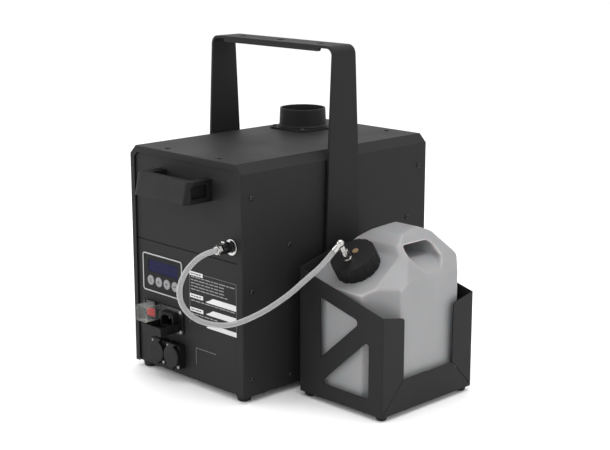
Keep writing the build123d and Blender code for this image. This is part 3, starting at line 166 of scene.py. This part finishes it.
def moulded(name, colour, low, high, grain=500.0, depth=0.0001, edge=0.0006, **fixed):
    """Moulded plastic or rubber: fine spark-eroded grain and soft changes of gloss."""
    n = Nodes(name)
    patches = n.noise(26.0, 4.0)
    fine = n.noise(grain, 4.0, 0.6)
    base = n.ramp(patches, [(0.3, shade(colour, 0.9)), (0.7, shade(colour, 1.1))])
    rough = n.spread(patches, low, high)
    normal = n.bump(fine, depth, 0.4, edge)
    return n.done(n.principled(base, rough, normal, **fixed))


def metal(name, colour, low, high, stretch=(1.0, 1.0, 30.0), edge=0.0005):
    """Turned, drawn or plated metal: fine lines one way and cloudy polish."""
    n = Nodes(name)
    lines = n.noise(220.0, 3.0, 0.5, stretch=stretch)
    clouds = n.noise(45.0, 4.0)
    base = n.ramp(clouds, [(0.3, shade(colour, 0.86)), (0.7, colour)])
    rough = n.spread(lines, low, high)
    normal = n.bump(lines, 0.00004, 0.35, edge)
    return n.done(n.principled(base, rough, normal, Metallic=1.0))


def clear(name, tint, body, least):
    """Clear plastic: seen through where it faces the eye, glossy along its edges, with a painted reflection
    that brightens its colour towards the edges.
    """
    n = Nodes(name)
    facing = n.add("ShaderNodeLayerWeight")
    facing.inputs["Blend"].default_value = 0.45
    edge = facing.outputs["Facing"]
    # Painted reflection: the colour is painted darker where the surface faces the eye and brighter towards
    # its grazing edges.
    colour = n.ramp(edge, [(0.0, shade(tint, 0.55)), (0.5, shade(tint, 0.75)), (1.0, tint)])
    rough = n.spread(n.noise(70.0, 3.0), 0.12, 0.20)
    normal = n.bump(n.noise(60.0, 2.0), 0.00001, 0.1)
    skin = n.principled(colour, rough, normal, IOR=1.45, Specular_IOR_Level=0.5)
    through = n.add("ShaderNodeBsdfTransparent")
    through.inputs["Color"].default_value = (*body, 1)
    amount = n.ramp(edge, [(0.0, (least,) * 3), (0.5, (least + 0.08,) * 3), (1.0, (0.92,) * 3)])
    mixer = n.add("ShaderNodeMixShader")
    n.join(amount, mixer.inputs["Fac"])
    n.join(through.outputs[0], mixer.inputs[1])
    n.join(skin, mixer.inputs[2])
    return n.done(mixer.outputs[0])


def canister_plastic(name):
    """Natural blow-moulded polyethylene: milky, with light coming through and cloudy wall thickness; its
    convex ridges carry a painted highlight.
    """
    n = Nodes(name)
    clouds = n.noise(14.0, 5.0, 0.5, stretch=(1.0, 1.0, 0.45))
    ripple = n.noise(90.0, 3.0, 0.5)
    milky = n.ramp(clouds, [(0.25, (0.300, 0.302, 0.308)), (0.75, (0.365, 0.367, 0.372))])
    # Painted highlight: convex ridges, found by pointiness, are painted pale to stand in for the light they
    # catch.
    pointed = n.add("ShaderNodeNewGeometry").outputs["Pointiness"]
    painted_ridge_highlight = n.ramp(pointed, [(0.515, (0.0, 0.0, 0.0)), (0.56, (0.75, 0.75, 0.75))])
    pale = n.add("ShaderNodeRGB")
    pale.outputs[0].default_value = (0.72, 0.72, 0.73, 1)
    colour = n.mix(painted_ridge_highlight, milky, pale.outputs[0])
    rough = n.spread(clouds, 0.30, 0.42)
    normal = n.bump(ripple, 0.0006, 0.35)
    skin = n.principled(colour, rough, normal, IOR=1.5, Subsurface_Weight=0.35, Subsurface_Scale=0.02)
    glow = n.add("ShaderNodeBsdfTranslucent")
    glow.inputs["Color"].default_value = (0.40, 0.402, 0.41, 1)
    mixer = n.add("ShaderNodeMixShader")
    mixer.inputs["Fac"].default_value = 0.28
    n.join(skin, mixer.inputs[1])
    n.join(glow.outputs[0], mixer.inputs[2])
    return n.done(mixer.outputs[0])


def screen_glass(name, colour):
    """Lit liquid crystal screen with a fine dot grid."""
    n = Nodes(name)
    grid = n.add("ShaderNodeTexChecker")
    grid.inputs["Scale"].default_value = 1400.0
    grid.inputs["Color1"].default_value = (*colour, 1)
    grid.inputs["Color2"].default_value = (*shade(colour, 0.82), 1)
    n.join(n.coords, grid.inputs["Vector"])
    clouds = n.noise(40.0, 2.0)
    rough = n.spread(clouds, 0.12, 0.22)
    normal = n.bump(clouds, 0.00002, 0.2)
    dots = grid.outputs["Color"]
    shader = n.principled(dots, rough, normal, Emission_Strength=0.35, Specular_IOR_Level=0.08)
    n.join(dots, shader.node.inputs["Emission Color"])
    return n.done(shader)


MATERIALS = {
    "powder_black": powder_coat("fine textured black powder coat", (0.0105, 0.0105, 0.0108)),
    "bracket_black": powder_coat("bracket powder coat", (0.0085, 0.0085, 0.0088), edge=0.0009),
    "black_screw": metal("blackened screws", (0.045, 0.045, 0.047), 0.30, 0.45),
    "bright_steel": metal("bright zinc screws", (0.42, 0.42, 0.41), 0.24, 0.40),
    "nickel": metal("nickel plating", (0.50, 0.49, 0.475), 0.10, 0.22),
    "brass_vent": metal("sintered bronze", (0.34, 0.23, 0.14), 0.38, 0.55, stretch=(1.0, 1.0, 1.0)),
    "black_plastic": moulded(
        "black moulded plastic", (0.0055, 0.0055, 0.0058), 0.42, 0.58, Specular_IOR_Level=0.18),
    "gloss_black": moulded(
        "semi-gloss black plastic", (0.0050, 0.0050, 0.0052), 0.16, 0.26, depth=0.00003,
        Specular_IOR_Level=0.35),
    "red_plastic": moulded("red switch plastic", (0.36, 0.018, 0.016), 0.22, 0.34),
    "grey_button": moulded("grey button plastic", (0.22, 0.22, 0.225), 0.40, 0.52, Specular_IOR_Level=0.25),
    "bezel_grey": moulded("grey printed border", (0.36, 0.365, 0.37), 0.32, 0.44),
    "overlay_dark": moulded(
        "dark polyester overlay", (0.005, 0.005, 0.0055), 0.26, 0.36, depth=0.00004,
        Specular_IOR_Level=0.10),
    "screen_blue": screen_glass("blue screen", (0.004, 0.004, 0.030)),
    "clear_cover": clear("clear splash cover", (0.52, 0.53, 0.52), (0.95, 0.96, 0.95), 0.03),
    "clear_tube": clear("clear soft tube", (0.60, 0.60, 0.60), (0.96, 0.96, 0.96), 0.62),
    "bottle_white": canister_plastic("milky canister plastic"),
    "rubber_black": moulded(
        "black rubber", (0.010, 0.010, 0.010), 0.62, 0.78, grain=300.0, Specular_IOR_Level=0.25),
    "zinc": metal("zinc plated sheet", (0.50, 0.51, 0.53), 0.35, 0.52),
    "cast_alu": metal("cast aluminium", (0.52, 0.52, 0.52), 0.45, 0.65, stretch=(1.0, 1.0, 1.0)),
    "copper_pipe": metal("copper pipe", (0.62, 0.34, 0.20), 0.25, 0.42),
    "board_green": moulded("circuit board", (0.02, 0.14, 0.06), 0.30, 0.45),
    "nylon": moulded("black nylon", (0.03, 0.03, 0.03), 0.40, 0.55),
}
PAINT_GREY = moulded("grey screen print", (0.21, 0.21, 0.213), 0.45, 0.60, edge=0.0)
PAINT_DARK = moulded("dark print", (0.03, 0.03, 0.035), 0.45, 0.60, edge=0.0)
PAINT_PALE = moulded("pale print", (0.56, 0.56, 0.56), 0.45, 0.60, edge=0.0)
PAINT_DIM = moulded(
    "unlit screen blocks", (0.008, 0.008, 0.045), 0.30, 0.45, edge=0.0, Specular_IOR_Level=0.08)

slot_of = {part["node"]: part["material_slot"] for part in frame["record"]["subparts"]}
for node, piece in frame["nodes"].items():
    piece.data.materials.clear()
    piece.data.materials.append(MATERIALS[slot_of[node]])


# ---------------------------------------------------------------- mesh helpers
def new_object(name, mesh, material):
    piece = bpy.data.objects.new(name, mesh)
    bpy.context.scene.collection.objects.link(piece)
    piece.data.materials.append(material)
    return piece


def settled(piece):
    """The piece's mesh with its modifiers applied."""
    graph = bpy.context.evaluated_depsgraph_get()
    mesh = bpy.data.meshes.new_from_object(piece.evaluated_get(graph))
    piece.modifiers.clear()
    piece.data = mesh
    return piece


def prism(name, outline, lift):
    """Closed prism: outline is a loop of points, lift the vector to its other end."""
    shape = bmesh.new()
    face = shape.faces.new([shape.verts.new(point) for point in outline])
    moved = bmesh.ops.extrude_face_region(shape, geom=[face])["geom"]
    bmesh.ops.translate(shape, vec=lift, verts=[g for g in moved if isinstance(g, bmesh.types.BMVert)])
    bmesh.ops.recalc_face_normals(shape, faces=shape.faces)
    mesh = bpy.data.meshes.new(name)
    shape.to_mesh(mesh)
    shape.free()
    piece = bpy.data.objects.new(name, mesh)
    bpy.context.scene.collection.objects.link(piece)
    return piece


def combine(piece, other, operation):
    step = piece.modifiers.new("combine", "BOOLEAN")
    step.object = other
    step.operation = operation
    step.solver = "EXACT"
    bpy.context.view_layer.update()
    settled(piece)
    bpy.data.objects.remove(other)


def prints(name, outlines, out, body, material, thick=0.12):
    """Printed or applied marks on the rear: each outline is a loop of (x, z) in mm, standing thick proud."""
    shape = bmesh.new()
    for outline in outlines:
        low = [shape.verts.new(at(x, -out, z)) for x, z in outline]
        high = [shape.verts.new(at(x, -out - thick, z)) for x, z in outline]
        shape.faces.new(low)
        shape.faces.new(high)
        for i in range(len(low)):
            j = (i + 1) % len(low)
            shape.faces.new((low[i], low[j], high[j], high[i]))
    bmesh.ops.recalc_face_normals(shape, faces=shape.faces)
    mesh = bpy.data.meshes.new(name)
    shape.to_mesh(mesh)
    shape.free()
    piece = new_object(name, mesh, material)
    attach(piece, body)
    return piece


def bar(x0, z0, x1, z1):
    return [(x0, z0), (x1, z0), (x1, z1), (x0, z1)]


def stroke(x0, z0, x1, z1, width=0.5):
    """Thin straight rule between two places."""
    along = Vector((x1 - x0, z1 - z0)).normalized()
    side = Vector((-along.y, along.x)) * width / 2
    return [
        (x0 - side.x, z0 - side.y), (x1 - side.x, z1 - side.y),
        (x1 + side.x, z1 + side.y), (x0 + side.x, z0 + side.y),
    ]


# ---------------------------------------------------------------- printed marks on the rear panel
PANEL = 193.0
rules = [stroke(6, 98, 6, 176, 0.4), stroke(109, 98, 109, 176, 0.4), stroke(38, 176, 109, 176, 0.4)]
rules += [stroke(18, 61, 63, 61), stroke(18, 61, 18, 35)]
LEGEND_ROWS = (
    (169.5, 106), (164.8, 86), (160.1, 82), (155.4, 84), (150.7, 90), (133.4, 106), (113.0, 68),
)  # each row's height and how far right it reaches
WORD_LENGTHS = (7.0, 12.0, 5.0, 9.0, 14.0, 6.0, 10.0, 8.0, 11.0)
for row, reach in LEGEND_ROWS:
    x = 9.0
    turn = int(row)
    while x < reach - 4:
        run = WORD_LENGTHS[turn % len(WORD_LENGTHS)]
        rules.append(bar(x, row - 0.75, min(x + run, reach), row + 0.75))
        x += run + 1.8
        turn += 1
prints("rear_rules", rules, PANEL, "cabinet", PAINT_GREY)

TAB_TOPS = (177.5, 143.5, 122.5)
blocks = [bar(6, top - 6, 36, top) for top in TAB_TOPS]
for low, high in ((136, 144.5), (117.5, 126), (97.5, 104.5)):
    blocks.append([(42, low + 1), (50, low + 4), (58, high), (109, high), (109, low), (104, low), (46, low)])
prints("rear_blocks", blocks, PANEL, "cabinet", PAINT_PALE)

words = []
for top in TAB_TOPS:
    for x, run in ((9.0, 5.0), (15.2, 3.4), (19.8, 6.2), (27.2, 4.6)):
        words.append(bar(x, top - 4.0, x + run, top - 2.2))
prints("rear_words", words, PANEL + 0.12, "cabinet", PAINT_DARK, 0.04)

# ---------------------------------------------------------------- screen, button and switch symbols
rows = []
for row, z in enumerate((171.4, 164.6)):
    for column in range(16):
        if (column * 5 + row * 3) % 7 != 2:
            x = -87.5 + column * 4.05
            rows.append(bar(x, z - 2.2, x + 2.5, z + 2.2))
prints("screen_blocks", rows, 193.35, "cabinet", PAINT_DIM, 0.05)

FIRST, PITCH, BUTTON_Z = -84.6, 19.2, 145.4
FACE = 195.2
marks = {
    "menu_button": [bar(-2.6, k - 0.45, 2.6, k + 0.45) for k in (-2.2, 0.0, 2.2)],
    "up_button": [[(-2.9, -1.8), (2.9, -1.8), (0, 2.8)]],
    "down_button": [[(-2.9, 1.8), (2.9, 1.8), (0, -2.8)]],
    "enter_button": [
        bar(-2.8, -0.5, 2.4, 0.5), bar(1.6, -0.5, 2.6, 2.8), [(-3.4, 0), (-1.4, 1.8), (-1.4, -1.8)],
    ],
}
for place, (button, shapes) in enumerate(marks.items()):
    centre = FIRST + PITCH * place
    placed = [[(centre + x, BUTTON_Z + z) for x, z in outline] for outline in shapes]
    prints(button + "_mark", placed, FACE, button, PAINT_DARK, 0.08)

# ---------------------------------------------------------------- canister
BX0, BX1, BY0, BY1 = 153.5, 304.0, -99.0, 77.0
FLOOR, TOP = 9.0, 246.0
FACET, FACET_TOP, NIP = 39.0, 181.0, 15.0
footprint = [
    (BX0 + NIP, BY0), (BX1 - FACET, BY0), (BX1, BY0 + FACET), (BX1, BY1 - NIP), (BX1 - NIP, BY1),
    (BX0 + NIP, BY1), (BX0, BY1 - NIP), (BX0, BY0 + NIP),
]
bottle = prism("canister", [at(x, y, FLOOR) for x, y in footprint], Vector((0, 0, TOP * MM)))
along_y = [
    (BY0 - 5, 0), (BY0 - 5, 170), (-31, 217), (-23, 230), (0, 241), (40, TOP), (60, 238), (BY1, 206),
    (BY1 + 5, 0),
]
SIDEWAYS = Vector((0.3, 0, 0))
LENGTHWAYS = Vector((0, 0.5, 0))
combine(bottle, prism("long section", [at(100, y, z) for y, z in along_y], SIDEWAYS), "INTERSECT")
along_x = [
    (BX0, 0), (BX0, 192), (BX0 + 14, 214), (BX0 + 36, 238), (BX0 + 48, TOP), (BX1 - 60, TOP), (BX1 - 50, 239),
    (BX1 - 18, 212), (BX1, 188), (BX1, 0),
]
combine(bottle, prism("cross section", [at(x, -200, z) for x, z in along_x], LENGTHWAYS), "INTERSECT")
diagonal = math.sqrt(0.5)
roof = []
for inward, up in ((-40, -34), (100, 85), (100, 200), (-40, 200)):
    x = BX1 - FACET / 2 - (inward + 150) * diagonal
    y = BY0 + FACET / 2 + (inward - 150) * diagonal
    roof.append(at(x, y, FACET_TOP + up))
combine(bottle, prism("corner roof", roof, Vector((0.3 * diagonal, 0.3 * diagonal, 0))), "DIFFERENCE")
grip = [(-17, 213), (2, 190), (26, 190), (43, 207), (43, 224), (38, 229), (-12, 229), (-17, 224)]
hole = prism("hand hole", [at(100, y, z) for y, z in grip], SIDEWAYS)
flare = [
    (BX0 - 9, 188.4), (BX0 + 40, 208), (BX1 - 40, 208), (BX1 + 9, 188.4), (BX1 + 9, 240), (BX0 - 9, 240),
]
combine(hole, prism("flare", [at(x, -200, z) for x, z in flare], LENGTHWAYS), "INTERSECT")
combine(bottle, hole, "DIFFERENCE")
remesh = bottle.modifiers.new("remesh", "REMESH")
remesh.mode = "VOXEL"
remesh.voxel_size = 0.002
settled(bottle)
smooth = bottle.modifiers.new("smooth", "SMOOTH")
smooth.factor = 0.5
smooth.iterations = 7
settled(bottle)
for polygon in bottle.data.polygons:
    polygon.use_smooth = True
bottle.data.materials.clear()
bottle.data.materials.append(MATERIALS["bottle_white"])
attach(bottle, "cabinet")
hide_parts("fluid_bottle")

# ---------------------------------------------------------------- clear fluid tube
neck_tilt = math.radians(33.0)
neck = Vector((0, -math.sin(neck_tilt), math.cos(neck_tilt)))
across = Vector((0, math.cos(neck_tilt), math.sin(neck_tilt)))
foot = Vector((222, -60, 198.7)) + Vector((2, 0, 0)) + across * -11 + neck * 24
way = Vector((-0.42, -0.44, -0.79)).normalized()
tube_end = foot + neck * 33 + way * 13
ROUTE = [
    (102, -224, 230), (102, -243, 230), (97, -262, 219), (86, -272, 198), (80, -275, 172), (86, -268, 147),
    (104, -252, 131), (131, -226, 126), (160, -193, 144), (183.5, -162.5, 169), (198, -140, 192),
    tuple(tube_end + way * 26), tuple(tube_end),
]
curve = bpy.data.curves.new("clear_fluid_tube", "CURVE")
curve.dimensions = "3D"
line = curve.splines.new("NURBS")
line.points.add(len(ROUTE) - 1)
for point, place in zip(line.points, ROUTE):
    point.co = (*at(*place), 1.0)
line.order_u = 3
line.use_endpoint_u = True
line.resolution_u = 12
curve.resolution_u = 12
curve.bevel_depth = 4.0 * MM
curve.bevel_resolution = 6
curve.use_fill_caps = True
curve.materials.append(MATERIALS["clear_tube"])
tube = bpy.data.objects.new("clear_fluid_tube", curve)
bpy.context.scene.collection.objects.link(tube)
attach(tube, "cabinet")
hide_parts("fluid_tube")

# ---------------------------------------------------------------- floor, light and camera
floor_mesh = bpy.data.meshes.new("floor")
floor_shape = bmesh.new()
bmesh.ops.create_grid(floor_shape, x_segments=8, y_segments=8, size=12.0)
floor_shape.to_mesh(floor_mesh)
floor_shape.free()
pale = Nodes("pale floor")
dapple = pale.noise(3.0, 2.0)
pale_colour = pale.ramp(dapple, [(0.3, (0.945, 0.945, 0.945)), (0.7, (0.96, 0.96, 0.96))])
floor = new_object("floor", floor_mesh, pale.done(pale.principled(
    pale_colour, pale.spread(dapple, 0.55, 0.65), pale.bump(dapple, 0.0001, 0.1), Specular_IOR_Level=0.2)))

world = bpy.data.worlds.new("studio")
bpy.context.scene.world = world
world.use_nodes = True
world.node_tree.nodes["Background"].inputs["Color"].default_value = (1.0, 1.0, 1.0, 1)
world.node_tree.nodes["Background"].inputs["Strength"].default_value = 1.05


def softbox(name, place, target, size, power):
    data = bpy.data.lights.new(name, "AREA")
    data.shape = "RECTANGLE"
    data.size, data.size_y = size
    data.energy = power
    lamp = bpy.data.objects.new(name, data)
    lamp.location = place
    lamp.rotation_euler = (Vector(target) - Vector(place)).to_track_quat("-Z", "Y").to_euler()
    bpy.context.scene.collection.objects.link(lamp)


softbox("overhead", (0.2, 0.1, 2.6), (0, 0, 0.2), (2.4, 2.4), 42)
softbox("rear_side_fill", (-1.6, -2.2, 1.2), (0, -0.1, 0.25), (1.6, 1.6), 22)
softbox("basket_side_fill", (2.6, 0.4, 1.1), (0.1, 0, 0.2), (1.2, 1.2), 10)

camera_data = bpy.data.cameras.new("camera")
camera_data.sensor_width = 36.0
camera_data.lens = 79.3
camera = bpy.data.objects.new("camera", camera_data)
camera.location = (1.4020, -1.3859, 0.6928)
camera.rotation_euler = (math.radians(90 - 13.17), 0, math.radians(45.52))
bpy.context.scene.collection.objects.link(camera)
bpy.context.scene.camera = camera
bpy.context.scene.view_settings.view_transform = "Standard"
